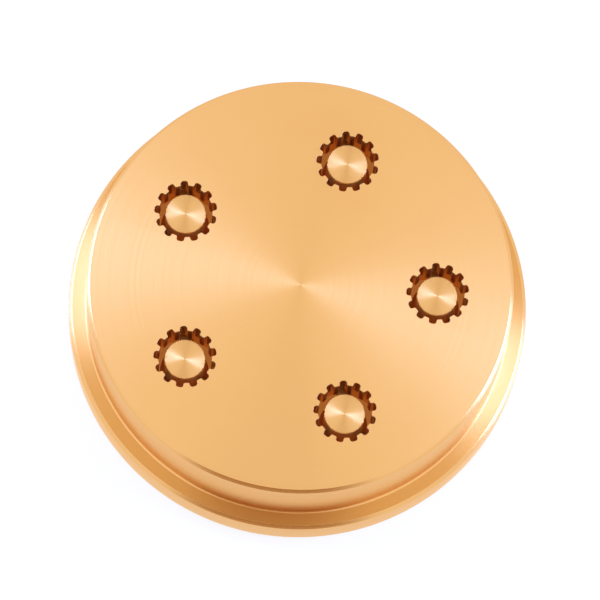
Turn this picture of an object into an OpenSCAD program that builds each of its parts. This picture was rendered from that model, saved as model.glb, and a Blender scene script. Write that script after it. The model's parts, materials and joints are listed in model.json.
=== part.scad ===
// Round pasta extrusion die for a small table-top pasta press. A turned bronze disc has a
// clamping flange at the rear, a narrower boss in front and five grooved openings, each
// with a finned forming pin in the middle, so that the dough comes out as ridged tubes.
// Frame: millimetres, origin at the centre of the rear face, +Z along the die's axis to
// the front face, +X through the first opening. The openings go round to the left of it.

/* [Die body] */
// Diameter of the clamping flange
flange_d = 59; // [50:0.5:80]
// Height of the flange, from the rear face to the shoulder
flange_h = 5.2; // [3:0.1:8]
// Width of the shoulder between the flange's rim and the boss
shoulder_w = 2.3; // [1:0.05:5]
// Overall height, from the rear face to the front face
die_h = 15.3; // [12:0.1:24]
// Chamfer on the turned outer edges
edge_chamfer = 0.4; // [0.1:0.05:1]
// Fillet that the turning tool leaves in the corner of the shoulder
corner_r = 0.3; // [0.1:0.05:1]

/* [Pattern of openings] */
// Wall of metal between a feed pocket and the side of the boss
rim_wall = 3.7; // [2:0.05:8]
// Angle from the first opening, on +X, to the second
step_1_2 = 73; // [60:0.5:80]
// Angle from the second opening to the third
step_2_3 = 77; // [60:0.5:80]
// Angle from the third opening to the fourth
step_3_4 = 66.5; // [60:0.5:80]
// Angle from the fourth opening to the fifth
step_4_5 = 75.5; // [60:0.5:80]

/* [Grooved opening] */
// Grooves round each opening
groove_count = 13; // [8:1:16]
// Diameter across the lands between the grooves
land_d = 6.8; // [5.5:0.1:9]
// Depth of a groove below the lands
groove_depth = 0.6; // [0.3:0.05:1]
// Width of a groove
groove_w = 0.95; // [0.5:0.05:1.2]
// Rounding in the bottom corners of a groove
groove_round = 0.33; // [0.05:0.01:0.4]
// Rounding on the corners of a land
land_round = 0.2; // [0.05:0.01:0.4]
// Turn of the first groove, measured from +X
groove_turn = 13.5; // [0:0.5:27]
// Length of the grooved stretch behind the front face
land_l = 4; // [2:0.1:6]

/* [Feed side] */
// Diameter of the feed pocket bored from the rear face
pocket_d = 12; // [9:0.1:14]
// Chamfer at the mouth of the feed pocket
mouth_chamfer = 0.4; // [0.1:0.05:1]
// Width of the ledge in the pocket that carries the pin's fins
ledge_w = 0.9; // [0.5:0.05:1.5]
// Length of the tapered chamber between the ledge and the grooved stretch
chamber_l = 3; // [1.5:0.1:5]
// Step from the chamber's narrow end in to the bottoms of the grooves
throat_step = 0.15; // [0.05:0.05:0.5]

/* [Forming pin] */
// Diameter of the pin where it stands in the opening
pin_d = 5.2; // [3.5:0.1:6]
// Depth of the pin's end below the front face
pin_recess = 1.2; // [0:0.1:3]
// Chamfer on the pin's end
pin_chamfer = 0.1; // [0.05:0.05:0.5]
// Step from the pin out to the hub that its fins stand on
hub_step = 0.5; // [0.2:0.05:1]
// Length of the taper from the hub to the pin
taper_l = 1.5; // [0.5:0.1:3]
// Fins on each pin
fin_count = 3; // [2:1:4]
// Thickness of a fin
fin_t = 1.8; // [1:0.1:2.5]
// Length of a fin along the pin
fin_l = 4; // [2:0.1:6]
// Play between the fins' ends and the wall of the pocket, on the radius
fin_play = 0.02; // [0.01:0.01:0.1]

/* [Hidden] */
$fn = 96;
bronze = "#E9B46E";
pin_bronze = "#EDBC78";
flange_r = flange_d / 2;
boss_r = flange_r - shoulder_w;
pocket_r = pocket_d / 2;
pitch_r = boss_r - rim_wall - pocket_r;
angle_2 = step_1_2;
angle_3 = angle_2 + step_2_3;
angle_4 = angle_3 + step_3_4;
angle_5 = angle_4 + step_4_5;
opening_angles = [0, angle_2, angle_3, angle_4, angle_5];
land_r = land_d / 2;
groove_r = land_r + groove_depth;
land_w = PI * land_d / groove_count - groove_w;
groove_fillet = min(groove_round, 0.45 * groove_w, 0.6 * groove_depth);
land_fillet = min(land_round, 0.4 * land_w, 0.35 * groove_depth);
groove_step = 360 / groove_count;
land_corner_y = groove_w / 2 + land_fillet;
land_corner_x = sqrt(pow(land_r + land_fillet, 2) - pow(land_corner_y, 2));
land_corner_a = atan2(land_corner_y, land_corner_x);
// Straight stretches in each small arc, which keeps it within 0.03 mm of round
arc_steps = 2;
land_z = die_h - land_l;
ledge_z = land_z - chamber_l;
chamber_r = pocket_r - ledge_w;
throat_r = groove_r + throat_step;
pin_r = pin_d / 2;
hub_r = pin_r + hub_step;
fin_r = pocket_r - fin_play;
fin_z = ledge_z - fin_l;
tip_z = die_h - pin_recess;
// How far a cutting shape runs past the face that it opens
past = 1;
// How far the grooved cut reaches back into the chamber
overlap = 0.4;

// Points of an arc round c, from angle a0 to angle a1
function arc(c, r, a0, a1) = [
    for (i = [0 : arc_steps])
        c + r * [cos(a0 + (a1 - a0) * i / arc_steps), sin(a0 + (a1 - a0) * i / arc_steps)]
];

// Half section of the blank: flange, shoulder with its fillet, boss and chamfered edges
module blank_section() {
    polygon(concat(
        [
            [0, 0],
            [flange_r - edge_chamfer, 0],
            [flange_r, edge_chamfer],
            [flange_r, flange_h - edge_chamfer],
            [flange_r - edge_chamfer, flange_h]
        ],
        arc([boss_r + corner_r, flange_h + corner_r], corner_r, 270, 180),
        [
            [boss_r, die_h - edge_chamfer],
            [boss_r - edge_chamfer, die_h],
            [0, die_h]
        ]
    ));
}

// The same points on the other side of the X axis, in the opposite order
function mirrored(points) = [for (i = [len(points) - 1 : -1 : 0]) [points[i].x, -points[i].y]];

// Points turned by angle a about the origin
function turned(points, a) = [
    for (p = points) [p.x * cos(a) - p.y * sin(a), p.x * sin(a) + p.y * cos(a)]
];

// One side of a groove along +X: the rounded corner of the land, the groove's wall and
// the rounded corner at its bottom
function groove_side() = concat(
    arc([land_corner_x, -land_corner_y], land_fillet, 180 - land_corner_a, 90),
    arc([groove_r - groove_fillet, groove_fillet - groove_w / 2], groove_fillet, -90, 0)
);

// Outline of an opening: the middle of a land, then a groove, all the way round
module grooved_outline() {
    side = groove_side();
    land = [land_r * [cos(groove_step / 2), -sin(groove_step / 2)]];
    groove = concat(land, side, mirrored(side));
    polygon([
        for (k = [0 : groove_count - 1])
            each turned(groove, groove_turn + k * groove_step)
    ]);
}

// Half section of the feed side: pocket mouth, pocket, ledge and tapered chamber
module feed_section() {
    polygon([
        [0, -past],
        [pocket_r + mouth_chamfer + past, -past],
        [pocket_r, mouth_chamfer],
        [pocket_r, ledge_z],
        [chamber_r, ledge_z],
        [throat_r, land_z],
        [0, land_z]
    ]);
}

// Everything that is cut away for one opening
module opening_cut() {
    rotate_extrude()
        feed_section();
    translate([0, 0, land_z - overlap])
        linear_extrude(land_l + overlap + past)
            grooved_outline();
}

// Puts what follows at opening number i of the pattern
module at_opening(i) {
    a = opening_angles[i];
    translate([pitch_r * cos(a), pitch_r * sin(a), 0])
        children();
}

// Half section of a forming pin's turned core, from the hub's rear end to the pin's tip
module pin_section() {
    polygon([
        [0, fin_z],
        [hub_r - pin_chamfer, fin_z],
        [hub_r, fin_z + pin_chamfer],
        [hub_r, ledge_z],
        [pin_r, ledge_z + taper_l],
        [pin_r, tip_z - pin_chamfer],
        [pin_r - pin_chamfer, tip_z],
        [0, tip_z]
    ]);
}

// The fins seen along the pin: bars from the middle that end on the pocket's wall
module fin_outline() {
    intersection() {
        circle(fin_r);
        union() {
            for (k = [0 : fin_count - 1])
                rotate(90 + k * 360 / fin_count)
                    translate([0, -fin_t / 2])
                        square([pocket_r, fin_t]);
        }
    }
}

// The turned disc with its five openings
module die_body() {
    color(bronze)
        difference() {
            rotate_extrude()
                blank_section();
            for (i = [0 : len(opening_angles) - 1])
                at_opening(i)
                    opening_cut();
        }
}

// One forming pin, seated with its fins on the ledge of opening number i
module forming_pin(i) {
    color(pin_bronze)
        at_opening(i)
            union() {
                rotate_extrude()
                    pin_section();
                translate([0, 0, fin_z])
                    linear_extrude(fin_l)
                        fin_outline();
            }
}

die_body();
forming_pin(0);  // forming_pin_1
forming_pin(1);  // forming_pin_2
forming_pin(2);  // forming_pin_3
forming_pin(3);  // forming_pin_4
forming_pin(4);  // forming_pin_5
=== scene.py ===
# %% [markdown]
# # A turned bronze pasta die
# The object is a disc of tin bronze for a small pasta press. Dough is pushed in from the rear and
# comes out of five grooved openings, round a pin in each, as ridged tubes. The solids come from the
# CAD frame in millimetres. This file dresses them: it makes finer meshes with broken edges, gives
# them the finish that a lathe leaves, and lights them softly on a white table.

import json
import math

import bpy
from mathutils import Matrix, Vector

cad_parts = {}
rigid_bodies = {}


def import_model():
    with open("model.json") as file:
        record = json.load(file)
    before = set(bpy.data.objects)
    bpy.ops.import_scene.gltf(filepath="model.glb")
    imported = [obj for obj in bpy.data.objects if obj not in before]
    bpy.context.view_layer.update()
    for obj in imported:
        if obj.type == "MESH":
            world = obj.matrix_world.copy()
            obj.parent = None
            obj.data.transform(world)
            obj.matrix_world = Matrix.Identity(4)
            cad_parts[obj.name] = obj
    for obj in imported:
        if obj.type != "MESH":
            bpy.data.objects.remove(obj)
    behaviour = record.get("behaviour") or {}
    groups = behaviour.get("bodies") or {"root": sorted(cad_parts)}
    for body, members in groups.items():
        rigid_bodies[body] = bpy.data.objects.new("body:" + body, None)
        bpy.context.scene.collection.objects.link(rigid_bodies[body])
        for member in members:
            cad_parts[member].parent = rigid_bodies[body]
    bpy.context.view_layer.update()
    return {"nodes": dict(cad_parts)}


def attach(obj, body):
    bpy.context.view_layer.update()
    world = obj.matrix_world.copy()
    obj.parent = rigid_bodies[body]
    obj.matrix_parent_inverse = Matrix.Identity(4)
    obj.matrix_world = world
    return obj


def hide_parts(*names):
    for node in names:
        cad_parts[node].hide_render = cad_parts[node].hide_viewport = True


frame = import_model()
scene = bpy.context.scene
print("nodes:", ", ".join(frame["nodes"]))

# %% [markdown]
# ## Sizes
# The sizes repeat those of the CAD source, in metres. Everything that is turned is described by its
# half section: points of radius and height, with the radius of the small rounding that the real
# corner has. A perfectly sharp corner doesn't exist on a lathe, and a corner with a little radius
# catches a thin line of light.

# %% Sizes of the die
MM = 0.001
flange_r, flange_h = 29.5 * MM, 5.2 * MM
boss_r, die_h = 27.2 * MM, 15.3 * MM
edge_chamfer, corner_r, edge_break = 0.4 * MM, 0.3 * MM, 0.06 * MM
pitch_r = 17.5 * MM
opening_angles = [math.radians(a) for a in (0, 73, 150, 216.5, 292)]
centres = [Vector((pitch_r * math.cos(a), pitch_r * math.sin(a), 0)) for a in opening_angles]
print("openings at", [tuple(round(c / MM, 2) for c in p.xy) for p in centres])


# %% Round the corners of a half section
def rounded(corners, steps=3):
    """Points along (x, y, radius) corners, each with an arc that runs smoothly into both sides."""
    points = []
    for k, (x, y, radius) in enumerate(corners):
        corner = Vector((x, y))
        if not radius:
            points.append(corner)
            continue
        before = (Vector(corners[k - 1][:2]) - corner).normalized()
        after = (Vector(corners[k + 1][:2]) - corner).normalized()
        half = before.angle(after) / 2
        middle = corner + (before + after).normalized() * radius / math.sin(half)
        start = (before * radius / math.tan(half) + corner - middle).normalized()
        end = (after * radius / math.tan(half) + corner - middle).normalized()
        points += [middle + start.slerp(end, i / steps) * radius for i in range(steps + 1)]
    return points


# %% One helper for every node
def add(tree, kind, inputs=None, **settings):
    """Adds a node, sets its properties and fills its inputs with values or links."""
    node = tree.nodes.new(kind)
    for key, value in settings.items():
        setattr(node, key, value)
    for key, value in (inputs or {}).items():
        if isinstance(value, bpy.types.NodeSocket):
            tree.links.new(value, node.inputs[key])
        else:
            node.inputs[key].default_value = value
    return node


# %% [markdown]
# ## Bronze
# Tin bronze is copper with about a tenth of tin: a warm, reddish gold that mirrors its surroundings
# in its own colour. A turned surface is rough across the tool marks and smooth along them, so it
# draws a lamp out into a bow-tie of light across the face. The Principled shader's anisotropy does
# that, if its tangent follows the marks. The tangent is the axis crossed with the place on the
# surface. The same place gives the distance across the marks, which a one-dimensional noise turns
# into rings of slightly different height and gloss. The meshes bring the place as an attribute,
# because each pin and each pocket was turned about an axis of its own. Real tool marks lie some
# 0.05 mm apart, finer than a pixel here, so the rings are drawn coarser, at 0.3 to 0.5 mm.

# %% Colours from hex codes
def linear(code):
    """An sRGB hex colour as the linear values that Blender's sockets take."""
    channels = [int(code[i : i + 2], 16) / 255 for i in (1, 3, 5)]
    return [c / 12.92 if c <= 0.04045 else ((c + 0.055) / 1.055) ** 2.4 for c in channels] + [1.0]


# %% A turned finish
drift_size = 9 * MM
gloss_spread = 0.02
quarter_turn = 0.25


def turned(name, tones, roughness, anisotropic, pitch, depth):
    """A turned metal: two tones that drift into each other, and rings of a pitch and depth."""
    material = bpy.data.materials.new(name)
    material.use_nodes = True
    tree = material.node_tree
    tree.nodes.clear()
    place = add(tree, "ShaderNodeAttribute", attribute_name="turned_about").outputs["Vector"]
    across = add(tree, "ShaderNodeVectorMath", {0: place, 1: (1, 1, 0)}, operation="MULTIPLY")
    radius = add(tree, "ShaderNodeVectorMath", {0: across.outputs[0]}, operation="LENGTH")
    height = add(tree, "ShaderNodeSeparateXYZ", {"Vector": place})
    travel = add(
        tree,
        "ShaderNodeMath",
        {0: radius.outputs["Value"], 1: height.outputs["Z"]},
        operation="SUBTRACT",
    )
    along = add(
        tree, "ShaderNodeVectorMath", {0: (0, 0, 1), 1: across.outputs[0]}, operation="CROSS_PRODUCT"
    )
    rings = add(
        tree,
        "ShaderNodeTexNoise",
        {"W": travel.outputs[0], "Scale": 1 / pitch, "Detail": 3.0, "Roughness": 0.6},
        noise_dimensions="1D",
    )
    drift = add(tree, "ShaderNodeTexNoise", {"Vector": place, "Scale": 1 / drift_size, "Detail": 2.0})
    gloss = add(
        tree,
        "ShaderNodeMapRange",
        {
            "Value": rings.outputs["Fac"],
            "From Min": 0.3,
            "From Max": 0.7,
            "To Min": roughness - gloss_spread,
            "To Max": roughness + gloss_spread,
        },
    )
    tone = add(
        tree,
        "ShaderNodeMix",
        {0: drift.outputs["Fac"], 6: linear(tones[0]), 7: linear(tones[1])},
        data_type="RGBA",
    )
    ridges = add(tree, "ShaderNodeBump", {"Height": rings.outputs["Fac"], "Distance": depth})
    metal = add(
        tree,
        "ShaderNodeBsdfPrincipled",
        {
            "Base Color": tone.outputs[2],
            "Metallic": 1.0,
            "Roughness": gloss.outputs["Result"],
            "Anisotropic": anisotropic,
            "Anisotropic Rotation": quarter_turn,
            "Tangent": along.outputs[0],
            "Normal": ridges.outputs["Normal"],
        },
    )
    add(tree, "ShaderNodeOutputMaterial", {"Surface": metal.outputs["BSDF"]})
    return material


# %% The finishes of the die
bronze = ("#EEBE80", "#EBB979")
# Painted shade: the shoulder's bronze is a shade deeper, for the light bounced between boss and
# shoulder.
# Painted highlight: the sides' bronze is lighter, so that their reflections come out brighter.
painted_shade_bronze = ("#EEB870", "#EBB268")
painted_highlight_bronze = ("#F9C88A", "#F6C282")
# Faced with a fine, even feed: a soft bow-tie of light that turns with the lamps.
faced = turned("tin_bronze_faced", bronze, 0.34, 0.65, 0.4 * MM, 0.0002 * MM)
# Faced up to the boss: narrow, bright flashes towards each lamp, and darker gold between them, deepened
# by painted shade in the colour.
shoulder_faced = turned("tin_bronze_shoulder_faced", painted_shade_bronze, 0.40, 0.96, 0.4 * MM, 0.0002 * MM)
# Turned along the side: the marks smear every reflection into upright streaks, lifted by a painted
# highlight in the colour.
side_turned = turned("tin_bronze_side_turned", painted_highlight_bronze, 0.25, 0.95, 0.4 * MM, 0.0002 * MM)
# Cut by a form tool: an even satin without a direction, dark because little light gets in.
grooved = turned("tin_bronze_form_cut", bronze, 0.30, 0.0, 0.5 * MM, 0.001 * MM)
# Bored from the rear: coarse rings round the pocket that break up the light from below.
bored = turned("tin_bronze_bored", bronze, 0.34, 0.7, 0.5 * MM, 0.002 * MM)
# Faced on a small end: a sharper bow-tie than the die's own, so that each pin stands out.
pin_turned = turned("tin_bronze_pin_turned", bronze, 0.38, 0.86, 0.3 * MM, 0.0004 * MM)
print("finishes:", [m.name for m in (faced, shoulder_faced, side_turned, grooved, bored, pin_turned)])

# %% [markdown]
# ## A lathe made of nodes
# The blank and the pins are turned: one half section goes round an axis. Blender's Screw modifier
# can do that, but a node tree keeps the revolving and the later cuts in one place, with named sizes.
# Curve to Mesh carries the section round a small guide circle, and Merge by Distance closes the two
# poles, where the section meets the axis.

# %% A tree with named inputs
def new_tree(name, *sockets):
    """A Geometry Nodes tree with a Geometry input and output and these named inputs."""
    tree = bpy.data.node_groups.new(name, "GeometryNodeTree")
    tree.interface.new_socket("Geometry", in_out="INPUT", socket_type="NodeSocketGeometry")
    for label, kind in sockets:
        tree.interface.new_socket(label, in_out="INPUT", socket_type=kind)
    tree.interface.new_socket("Geometry", in_out="OUTPUT", socket_type="NodeSocketGeometry")
    return tree


# %% The lathe
guide_r, pole_gap = 1 * MM, 0.0005 * MM
lathe = new_tree("lathe", ("Segments", "NodeSocketInt"))
given = add(lathe, "NodeGroupInput").outputs
section = add(lathe, "GeometryNodeMeshToCurve", {"Mesh": given["Geometry"]})
guide = add(
    lathe, "GeometryNodeCurvePrimitiveCircle", {"Resolution": given["Segments"], "Radius": guide_r}
)
swept = add(
    lathe,
    "GeometryNodeCurveToMesh",
    {"Curve": guide.outputs["Curve"], "Profile Curve": section.outputs["Curve"]},
)
closed = add(
    lathe, "GeometryNodeMergeByDistance", {"Geometry": swept.outputs["Mesh"], "Distance": pole_gap}
)
add(lathe, "NodeGroupOutput", {"Geometry": closed.outputs["Geometry"]})
print("nodes of the lathe:", len(lathe.nodes))


# %% What a tree starts from, and what it leaves
sharp_angle = math.radians(28)


def half_section(name, corners):
    """A chain of edges from the front centre to the rear centre. Curve to Mesh measures its X from
    the guide circle outwards and its Y downwards."""
    points = [(p.x - guide_r, -p.y, 0) for p in rounded(corners)]
    mesh = bpy.data.meshes.new(name)
    mesh.from_pydata(points, [(i, i + 1) for i in range(len(points) - 1)], [])
    return mesh


def grow(mesh, tree, values):
    """Runs a tree on a mesh and returns the result as a plain mesh, with no modifier left."""
    source = bpy.data.objects.new(tree.name, mesh)
    scene.collection.objects.link(source)
    nodes = source.modifiers.new("nodes", "NODES")
    nodes.node_group = tree
    for item in tree.interface.items_tree:
        if item.in_out == "INPUT" and item.name in values:
            nodes[item.identifier] = values[item.name]
    graph = bpy.context.evaluated_depsgraph_get()
    made = bpy.data.meshes.new_from_object(source.evaluated_get(graph))
    source.modifiers.remove(nodes)
    bpy.data.objects.remove(source)
    if made.materials[0] is None:
        # The boolean keeps an empty slot for the faces that came to it without a material.
        made.materials.pop(index=0)
    made.shade_smooth()
    made.set_sharp_from_angle(angle=sharp_angle)
    return made


# %% [markdown]
# ## The shape of one opening
# Each opening has thirteen rounded grooves, cut by a form tool, so that the pasta gets ridges. The
# same arcs as in the CAD source give its outline: the middle of a land, the land's rounded corner,
# the groove's wall and the groove's rounded bottom. Behind it the hole widens to a tapered chamber
# and a round pocket. A stack of rings makes that whole space as one closed mesh, a little too long
# at both ends, to be cut out of the blank.

# %% The grooved outline
groove_count, groove_w, groove_turn = 13, 0.95 * MM, math.radians(13.5)
land_r, groove_r = 3.4 * MM, 4.0 * MM
land_fillet, groove_fillet = 0.2 * MM, 0.33 * MM
step = 2 * math.pi / groove_count


def arc(x, y, radius, start, end, steps=6):
    """Points of an arc round (x, y), between two angles in degrees."""
    turns = [math.radians(start + (end - start) * i / steps) for i in range(steps + 1)]
    return [Vector((x + radius * math.cos(t), y + radius * math.sin(t))) for t in turns]


corner_y = groove_w / 2 + land_fillet
corner_x = math.sqrt((land_r + land_fillet) ** 2 - corner_y**2)
corner_a = math.degrees(math.atan2(corner_y, corner_x))
side = arc(corner_x, -corner_y, land_fillet, 180 - corner_a, 90)
side += arc(groove_r - groove_fillet, groove_fillet - groove_w / 2, groove_fillet, -90, 0)
land = Vector((land_r * math.cos(step / 2), -land_r * math.sin(step / 2)))
groove = [land] + side + [Vector((p.x, -p.y)) for p in reversed(side)]
outline = []
for k in range(groove_count):
    turn = Matrix.Rotation(groove_turn + k * step, 2)
    outline += [turn @ p for p in groove]
print("points in the outline:", len(outline))


# %% A closed mesh from a stack of rings
def moved_out(points, distance):
    """A closed outline with each point moved outwards, square to the line at that point."""
    out = []
    for i, p in enumerate(points):
        along = (points[(i + 1) % len(points)] - points[i - 1]).normalized()
        out.append(p + Vector((along.y, -along.x)) * distance)
    return out


def stacked(name, rings):
    """An object with a closed mesh from (height, points) rings that all have as many points."""
    count = len(rings[0][1])
    corners = [(p.x, p.y, z) for z, points in rings for p in points]
    faces = [tuple(reversed(range(count))), tuple(range(len(corners) - count, len(corners)))]
    for k in range(0, len(corners) - count, count):
        for i in range(count):
            j = (i + 1) % count
            faces.append((k + i, k + j, k + count + j, k + count + i))
    mesh = bpy.data.meshes.new(name)
    mesh.from_pydata(corners, [], faces)
    made = bpy.data.objects.new(name, mesh)
    scene.collection.objects.link(made)
    return made


# %% Everything that is cut away for one opening
pocket_r, chamber_r, throat_r = 6.0 * MM, 5.1 * MM, 4.15 * MM
mouth_chamfer, ledge_z, land_z = 0.4 * MM, 8.3 * MM, 11.3 * MM
past, lip = 0.1 * MM, 0.05 * MM


def ring(radius):
    """A circle with one point for each point of the outline, in the same direction."""
    return [p.normalized() * radius for p in outline]


opening_space = stacked(
    "opening_space",
    [
        (-past, ring(pocket_r + mouth_chamfer + past)),
        (mouth_chamfer, ring(pocket_r)),
        (ledge_z, ring(pocket_r)),
        (ledge_z, ring(chamber_r)),
        (land_z, ring(throat_r)),
        (land_z, outline),
        (die_h - lip, outline),
        (die_h + past, moved_out(outline, lip + past)),
    ],
)
print("faces of the opening's space:", len(opening_space.data.polygons))

# %% [markdown]
# ## The die body
# The blank is turned first and the openings are cut after that, as in the workshop. Five points
# stand at the openings' angles, the opening's space is instanced on them, and Mesh Boolean takes
# all five away at once. The angles are inputs of the tree, because the real die's openings aren't
# spaced quite evenly. Booleans suit this better than bridging loops by hand, because the cut edges
# follow whatever outline the opening has.

# %% The tree that turns and pierces the body
numbers = range(1, len(centres) + 1)
pierced = new_tree(
    "pierced_disc",
    ("Segments", "NodeSocketInt"),
    ("Opening Space", "NodeSocketObject"),
    ("Pitch Radius", "NodeSocketFloat"),
    *[(f"Angle {n}", "NodeSocketFloat") for n in numbers],
    ("Finish", "NodeSocketMaterial"),
)
given = add(pierced, "NodeGroupInput").outputs
blank = add(pierced, "GeometryNodeGroup", node_tree=lathe)
pierced.links.new(given["Geometry"], blank.inputs["Geometry"])
pierced.links.new(given["Segments"], blank.inputs["Segments"])
index = add(pierced, "GeometryNodeInputIndex")
angle = add(pierced, "GeometryNodeIndexSwitch", {"Index": index.outputs["Index"]}, data_type="FLOAT")
while len(angle.index_switch_items) < len(centres):
    angle.index_switch_items.new()
for n in numbers:
    pierced.links.new(given[f"Angle {n}"], angle.inputs[str(n - 1)])
cosine = add(pierced, "ShaderNodeMath", {0: angle.outputs["Output"]}, operation="COSINE")
sine = add(pierced, "ShaderNodeMath", {0: angle.outputs["Output"]}, operation="SINE")
bearing = add(pierced, "ShaderNodeCombineXYZ", {"X": cosine.outputs[0], "Y": sine.outputs[0]})
place = add(
    pierced,
    "ShaderNodeVectorMath",
    {0: bearing.outputs[0], "Scale": given["Pitch Radius"]},
    operation="SCALE",
)
spots = add(pierced, "GeometryNodePoints", {"Count": len(centres), "Position": place.outputs[0]})
space = add(pierced, "GeometryNodeObjectInfo", {"Object": given["Opening Space"]})
copies = add(
    pierced,
    "GeometryNodeInstanceOnPoints",
    {"Points": spots.outputs[0], "Instance": space.outputs["Geometry"]},
)
real = add(pierced, "GeometryNodeRealizeInstances", {"Geometry": copies.outputs[0]})
cut = add(
    pierced,
    "GeometryNodeMeshBoolean",
    {"Mesh 1": blank.outputs["Geometry"], "Mesh 2": real.outputs["Geometry"]},
    operation="DIFFERENCE",
    solver="EXACT",
)
finished = add(
    pierced, "GeometryNodeSetMaterial", {"Geometry": cut.outputs["Mesh"], "Material": given["Finish"]}
)
add(pierced, "NodeGroupOutput", {"Geometry": finished.outputs["Geometry"]})
print("nodes of the body's tree:", len(pierced.nodes))

# %% Turn and pierce the body
body_section = half_section(
    "body_section",
    [
        (0, die_h, 0),
        (boss_r - edge_chamfer, die_h, edge_break),
        (boss_r, die_h - edge_chamfer, edge_break),
        (boss_r, flange_h, corner_r),
        (flange_r - edge_chamfer, flange_h, edge_break),
        (flange_r, flange_h - edge_chamfer, edge_break),
        (flange_r, edge_chamfer, edge_break),
        (flange_r - edge_chamfer, 0, edge_break),
        (0, 0, 0),
    ],
)
body_segments, pin_segments = 240, 96
body_sizes = {"Segments": body_segments, "Opening Space": opening_space}
body_sizes |= {"Pitch Radius": pitch_r, "Finish": faced}
body_sizes |= {f"Angle {n}": a for n, a in zip(numbers, opening_angles)}
body_mesh = grow(body_section, pierced, body_sizes)
bpy.data.objects.remove(opening_space)
print("faces of the body:", len(body_mesh.polygons))

# %% [markdown]
# ## The forming pins
# A pin stands in the middle of each opening and makes the tube hollow. It is turned from bar with
# a hub at its rear, and three fins on the hub seat on the ledge in the pocket, so that the dough can
# flow between them. The core uses the same lathe tree as the body. One fin is drawn from its
# outline and instanced round the axis, and a union makes pin and fins one piece of metal.

# %% The tree that turns a pin and sets its fins
finned = new_tree(
    "finned_pin",
    ("Segments", "NodeSocketInt"),
    ("Fin", "NodeSocketObject"),
    ("Fin Count", "NodeSocketInt"),
    ("First Turn", "NodeSocketFloat"),
    ("Finish", "NodeSocketMaterial"),
)
given = add(finned, "NodeGroupInput").outputs
core = add(finned, "GeometryNodeGroup", node_tree=lathe)
finned.links.new(given["Geometry"], core.inputs["Geometry"])
finned.links.new(given["Segments"], core.inputs["Segments"])
spots = add(finned, "GeometryNodePoints", {"Count": given["Fin Count"]})
index = add(finned, "GeometryNodeInputIndex")
share = add(
    finned, "ShaderNodeMath", {0: index.outputs["Index"], 1: given["Fin Count"]}, operation="DIVIDE"
)
turn = add(
    finned,
    "ShaderNodeMath",
    {0: share.outputs[0], 1: 2 * math.pi, 2: given["First Turn"]},
    operation="MULTIPLY_ADD",
)
facing = add(finned, "ShaderNodeCombineXYZ", {"Z": turn.outputs[0]})
one_fin = add(finned, "GeometryNodeObjectInfo", {"Object": given["Fin"]})
copies = add(
    finned,
    "GeometryNodeInstanceOnPoints",
    {"Points": spots.outputs[0], "Instance": one_fin.outputs["Geometry"], "Rotation": facing.outputs[0]},
)
real = add(finned, "GeometryNodeRealizeInstances", {"Geometry": copies.outputs[0]})
joined = add(finned, "GeometryNodeMeshBoolean", operation="UNION", solver="EXACT")
finned.links.new(core.outputs["Geometry"], joined.inputs["Mesh 2"])
finned.links.new(real.outputs["Geometry"], joined.inputs["Mesh 2"])
finished = add(
    finned, "GeometryNodeSetMaterial", {"Geometry": joined.outputs["Mesh"], "Material": given["Finish"]}
)
add(finned, "NodeGroupOutput", {"Geometry": finished.outputs["Geometry"]})
print("nodes of the pin's tree:", len(finned.nodes))

# %% One fin
pin_r, hub_r, fin_r, fin_t = 2.6 * MM, 3.1 * MM, 5.98 * MM, 1.8 * MM
fin_z, fin_edge = 4.3 * MM, 0.1 * MM
root_x = hub_r / 2
half_end = math.degrees(math.asin(fin_t / 2 / fin_r))
fin_outline = [Vector((root_x, -fin_t / 2)), *arc(0, 0, fin_r, -half_end, half_end)]
fin_outline.append(Vector((root_x, fin_t / 2)))
fin = stacked(
    "fin",
    [
        (fin_z, moved_out(fin_outline, -fin_edge)),
        (fin_z + fin_edge, fin_outline),
        (ledge_z, fin_outline),
    ],
)

# %% One pin
tip_z, taper_l, pin_chamfer, pin_break = 14.1 * MM, 1.5 * MM, 0.1 * MM, 0.03 * MM
pin_section = half_section(
    "pin_section",
    [
        (0, tip_z, 0),
        (pin_r - pin_chamfer, tip_z, pin_break),
        (pin_r, tip_z - pin_chamfer, pin_break),
        (pin_r, ledge_z + taper_l, edge_break),
        (hub_r, ledge_z, edge_break),
        (hub_r, fin_z + pin_chamfer, pin_break),
        (hub_r - pin_chamfer, fin_z, pin_break),
        (0, fin_z, 0),
    ],
)
fin_count, first_fin = 3, math.radians(90)
pin_sizes = {"Segments": pin_segments, "Fin": fin, "Fin Count": fin_count}
pin_sizes |= {"First Turn": first_fin, "Finish": pin_turned}
pin_mesh = grow(pin_section, finned, pin_sizes)
bpy.data.objects.remove(fin)
print("faces of a pin:", len(pin_mesh.polygons))

# %% [markdown]
# ## Where the tool marks run
# A lathe leaves fine grooves round the axis that the work turned about. It is the die's own axis on
# the outside of the body, and each opening's axis in its pocket and on its pin. The finishes read
# that from an attribute: the place of each face corner, measured from its axis. One set of nodes can
# then draw rings on every piece, where Object coordinates would only fit one.

# %% Sort the body's faces
def nearest(point):
    """The opening nearest to a point."""
    return min(centres, key=lambda c: (point.xy - c.xy).length)


FACED, SHOULDER, SIDE, GROOVED, BORED = range(5)
# A face whose normal has at least this much Z lies flat.
flat_z = 0.999


def finish_of(face):
    """Which finish a face of the body has, from where it lies."""
    z = face.center.z
    if abs(face.normal.z) > flat_z and not lip < z < die_h - lip / 2:
        return FACED
    if (face.center.xy - nearest(face.center).xy).length > pocket_r + mouth_chamfer:
        return SHOULDER if face.normal.z > flat_z else SIDE
    return GROOVED if z > land_z - past else BORED


kinds = [finish_of(face) for face in body_mesh.polygons]
for finish in (shoulder_faced, side_turned, grooved, bored):
    body_mesh.materials.append(finish)
body_mesh.polygons.foreach_set("material_index", kinds)
print("faced, shoulder, side, grooved and bored faces:", [kinds.count(k) for k in range(5)])


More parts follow.
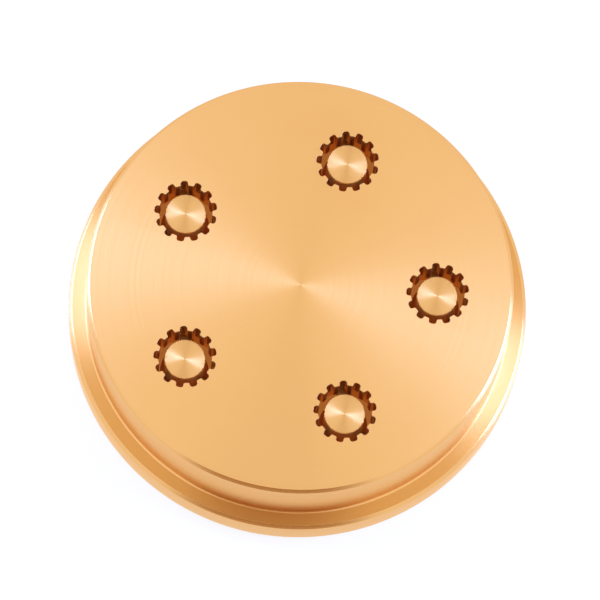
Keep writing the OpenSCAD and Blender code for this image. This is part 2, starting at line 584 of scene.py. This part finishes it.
# %% Give the meshes their turning axes
def set_axes(mesh, axis_of):
    """Stores each face corner's place, measured from the axis that axis_of(face) gives."""
    place = mesh.attributes.new("turned_about", "FLOAT_VECTOR", "CORNER")
    for face in mesh.polygons:
        axis = axis_of(face)
        for i in face.loop_indices:
            place.data[i].vector = mesh.vertices[mesh.loops[i].vertex_index].co - axis


origin = Vector((0, 0, 0))
set_axes(
    body_mesh,
    lambda face: nearest(face.center) if kinds[face.index] in (GROOVED, BORED) else origin,
)
set_axes(pin_mesh, lambda face: origin)

# %% [markdown]
# ## Pieces in the frame
# The pack knows the die as six CAD nodes. Each finished mesh becomes one object that stands for one
# node: the node stays in the physics, and the finer mesh is what the eye sees. The meshes already
# lie where the CAD has them, so the objects stay at the origin. Nothing on a die moves, so all six
# ride on the one body, root. The five pins are copies of one mesh, each moved to its opening.

# %% Put the pieces into the frame
def put(name, mesh, node):
    """Makes a piece of a mesh that stands for a CAD node."""
    piece = bpy.data.objects.new(name, mesh)
    scene.collection.objects.link(piece)
    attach(piece, "root")
    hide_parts(node)
    print("made", piece.name)


put("die_body_turned", body_mesh, "die_body")
for n, centre in zip(numbers, centres):
    mesh = pin_mesh.copy()
    mesh.transform(Matrix.Translation(centre))
    put(f"forming_pin_{n}_turned", mesh, f"forming_pin_{n}")

# %% [markdown]
# ## Table and light
# The die lies on a white table under soft studio light: two soft boxes, left and right, in a pale,
# warm room. Metal shows what is round it, so the room matters more than the lamps. The room is
# brightest overhead. On the side where the camera stands it is a dim brown, which the chamfers, the
# shoulder and the foot of the wall above it throw back as a darker gold. The lamps are cool: bronze
# takes most of the blue away, so their highlights come out nearly white. The card of the table glows
# for the camera, which makes the background white, and for reflections, a little warmer. It keeps a
# share of plain paper that takes the shadow. Under the die it glows in the brown of light that has
# bounced about between bronze walls, which lights the openings from below.

# %% The white table
# The table lies a hair below the die's rear face, because two faces in one plane would flicker.
reach, table_drop = 3.0, 0.02 * MM
table_mesh = bpy.data.meshes.new("table")
table_mesh.from_pydata(
    [(-reach, -reach, 0), (reach, -reach, 0), (reach, reach, 0), (-reach, reach, 0)], [], [(0, 1, 2, 3)]
)
table = bpy.data.objects.new("table", table_mesh)
table.location.z = -table_drop
scene.collection.objects.link(table)
print("the table reaches", reach, "m each way")

# %% The table's card
# The camera sees this much glow, and the rest is paper. The glow turns brown below the die's rim.
camera_share, rim_blend = 0.8, 0.8 * MM
under_die, reflected_white, paper_white = "#B0662C", "#FFF6E6", "#F7F6F4"
card = bpy.data.materials.new("white_table_card")
card.use_nodes = True
tree = card.node_tree
tree.nodes.clear()
ray = add(tree, "ShaderNodeLightPath").outputs
glossy = add(
    tree, "ShaderNodeMath", {0: ray["Is Glossy Ray"], 1: ray["Is Transmission Ray"]}, operation="MAXIMUM"
)
seen = add(tree, "ShaderNodeMath", {0: ray["Is Camera Ray"], 1: camera_share}, operation="MULTIPLY")
share = add(tree, "ShaderNodeMath", {0: seen.outputs[0], 1: glossy.outputs[0]}, operation="MAXIMUM")
spot = add(tree, "ShaderNodeTexCoord")
flat = add(tree, "ShaderNodeVectorMath", {0: spot.outputs["Object"], 1: (1, 1, 0)}, operation="MULTIPLY")
radius = add(tree, "ShaderNodeVectorMath", {0: flat.outputs[0]}, operation="LENGTH")
clear = add(
    tree,
    "ShaderNodeMapRange",
    {"Value": radius.outputs["Value"], "From Min": flange_r - rim_blend, "From Max": flange_r},
    interpolation_type="SMOOTHSTEP",
)
open_white = add(
    tree,
    "ShaderNodeMix",
    {0: ray["Is Camera Ray"], 6: linear(reflected_white), 7: (1, 1, 1, 1)},
    data_type="RGBA",
)
glow = add(
    tree,
    "ShaderNodeMix",
    {0: clear.outputs["Result"], 6: linear(under_die), 7: open_white.outputs[2]},
    data_type="RGBA",
)
paper = add(tree, "ShaderNodeBsdfDiffuse", {"Color": linear(paper_white)})
white = add(tree, "ShaderNodeEmission", {"Color": glow.outputs[2], "Strength": 1.0})
mixed = add(tree, "ShaderNodeMixShader", {0: share.outputs[0], 1: paper.outputs[0], 2: white.outputs[0]})
add(tree, "ShaderNodeOutputMaterial", {"Surface": mixed.outputs[0]})
table_mesh.materials.append(card)
print("made", card.name)

# %% Where the camera looks from
azimuth, elevation, roll = math.radians(-4.2), math.radians(74.5), math.radians(7.7)
front = Vector((math.sin(azimuth), -math.cos(azimuth), 0))
back = front * math.cos(elevation) + Vector((0, 0, math.sin(elevation)))
print("from the die to the camera:", [round(v, 3) for v in back])

# %% The room
# Heights in the room are the Z of a direction of length one: 0 is level and 1 is straight up.
ceiling_light, wall_light = 1.09, 0.9
walls_end, ceiling_starts = 0.3, 0.8
pale_wall, dim_wall = "#FFFAF0", "#A98055"
# The dim wall fades out between these angles to either side of the camera, and upwards between these.
dim_side, pale_side = math.radians(16), math.radians(38)
dim_top, pale_top = math.radians(76), math.radians(86)
world = bpy.data.worlds.new("pale_room")
scene.world = world
world.use_nodes = True
tree = world.node_tree
tree.nodes.clear()
look = add(tree, "ShaderNodeTexCoord").outputs["Generated"]
height = add(tree, "ShaderNodeSeparateXYZ", {"Vector": look})
room = add(
    tree,
    "ShaderNodeMapRange",
    {
        "Value": height.outputs["Z"],
        "From Min": walls_end,
        "From Max": ceiling_starts,
        "To Min": wall_light,
        "To Max": ceiling_light,
    },
    interpolation_type="SMOOTHSTEP",
)
level_look = add(tree, "ShaderNodeVectorMath", {0: look, 1: (1, 1, 0)}, operation="MULTIPLY")
heading = add(tree, "ShaderNodeVectorMath", {0: level_look.outputs[0]}, operation="NORMALIZE")
towards = add(tree, "ShaderNodeVectorMath", {0: heading.outputs[0], 1: front}, operation="DOT_PRODUCT")
sector = add(
    tree,
    "ShaderNodeMapRange",
    {
        "Value": towards.outputs["Value"],
        "From Min": math.cos(pale_side),
        "From Max": math.cos(dim_side),
    },
    interpolation_type="SMOOTHSTEP",
)
below_top = add(
    tree,
    "ShaderNodeMapRange",
    {
        "Value": height.outputs["Z"],
        "From Min": math.sin(dim_top),
        "From Max": math.sin(pale_top),
        "To Min": 1.0,
        "To Max": 0.0,
    },
    interpolation_type="SMOOTHSTEP",
)
dim = add(
    tree,
    "ShaderNodeMath",
    {0: sector.outputs["Result"], 1: below_top.outputs["Result"]},
    operation="MULTIPLY",
)
paint = add(
    tree,
    "ShaderNodeMix",
    {0: dim.outputs[0], 6: linear(pale_wall), 7: linear(dim_wall)},
    data_type="RGBA",
)
pale = add(tree, "ShaderNodeBackground", {"Color": paint.outputs[2], "Strength": room.outputs["Result"]})
add(tree, "ShaderNodeOutputWorld", {"Surface": pale.outputs[0]})
print("light of the room, from walls to ceiling:", wall_light, ceiling_light)


# %% The soft boxes
lamp_size, cool_white = 0.30, "#84AAFF"


def soft_box(name, place, radiance):
    """A square lamp that faces the die, with its power worked out from its brightness."""
    lamp = bpy.data.lights.new(name, "AREA")
    lamp.shape, lamp.size = "SQUARE", lamp_size
    lamp.color = linear(cool_white)[:3]
    lamp.energy = radiance * math.pi * lamp_size**2
    box = bpy.data.objects.new(name, lamp)
    box.location = place
    box.rotation_euler = Vector(place).to_track_quat("Z", "Y").to_euler()
    scene.collection.objects.link(box)
    print(name, "power, W:", round(lamp.energy, 2))


soft_box("soft_box_left", (-0.476, 0.183, 0.33), 20.0)
soft_box("soft_box_right", (0.510, 0.0, 0.33), 22.0)

# %% [markdown]
# ## The camera
# The camera looks steeply down on the front face, so that the openings show, with a little of the
# side below. It stands far off with a long lens, as for a catalogue picture, and the disc keeps its
# true proportions. A Track To constraint could aim it but not roll it, so its three axes are worked
# out and go into its matrix. The aim is a little off the origin, which places the die in the picture.

# %% The camera
# Lengths in the picture are in pixels of a square image. The camera stands this many radii away.
image_size, flange_r_pixels, radii_away = 600, 227.15, 24
aim_right, aim_up = 3.65, 16.25
right = Vector((math.cos(azimuth), math.sin(azimuth), 0))
up = back.cross(right)
image_x = right * math.cos(roll) + up * math.sin(roll)
image_y = up * math.cos(roll) - right * math.sin(roll)
distance, pixels_per_metre = radii_away * flange_r, flange_r_pixels / flange_r
aim = image_x * (aim_right / pixels_per_metre) + image_y * (aim_up / pixels_per_metre)
lens = bpy.data.cameras.new("camera")
lens.sensor_width = 36.0
lens.lens = pixels_per_metre * distance / image_size * lens.sensor_width
lens.clip_start, lens.clip_end = 0.05, 20
camera = bpy.data.objects.new("camera", lens)
camera.matrix_world = Matrix((image_x, image_y, back)).transposed().to_4x4()
camera.location = aim + back * distance
scene.collection.objects.link(camera)
scene.camera = camera
scene.view_settings.view_transform = "Standard"
print("focal length, mm:", round(lens.lens, 1))
